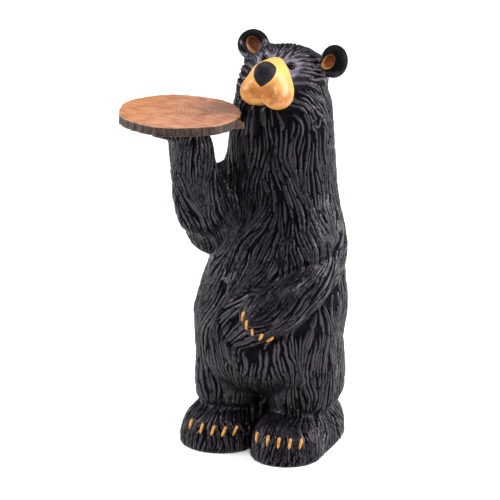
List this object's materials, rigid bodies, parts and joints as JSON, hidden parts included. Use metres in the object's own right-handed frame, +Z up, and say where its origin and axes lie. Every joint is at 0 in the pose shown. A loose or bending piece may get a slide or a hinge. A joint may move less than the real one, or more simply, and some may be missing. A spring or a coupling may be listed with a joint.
{
  "type": "bear figurine",
  "caption": "Standing black bear figure, one paw across its belly and the other raised under a round log-slice tray; rests on its flat feet.",
  "frame": {"origin": "middle of the flat underside, on the floor between the heels", "axes": "+Z up, the bear faces -Y and its own left side is at +X"},
  "size_m": [0.2478, 0.2228, 0.4841],
  "materials": {
    "black_resin": "hand-painted black casting resin with a satin clear coat over carved fur",
    "log_slice": "casting resin painted as a slice of log, red-brown face and grey-brown bark"
  },
  "bodies": {
    "root": {"bear": "black_resin", "tray": "log_slice"}
  },
  "joints": []
}
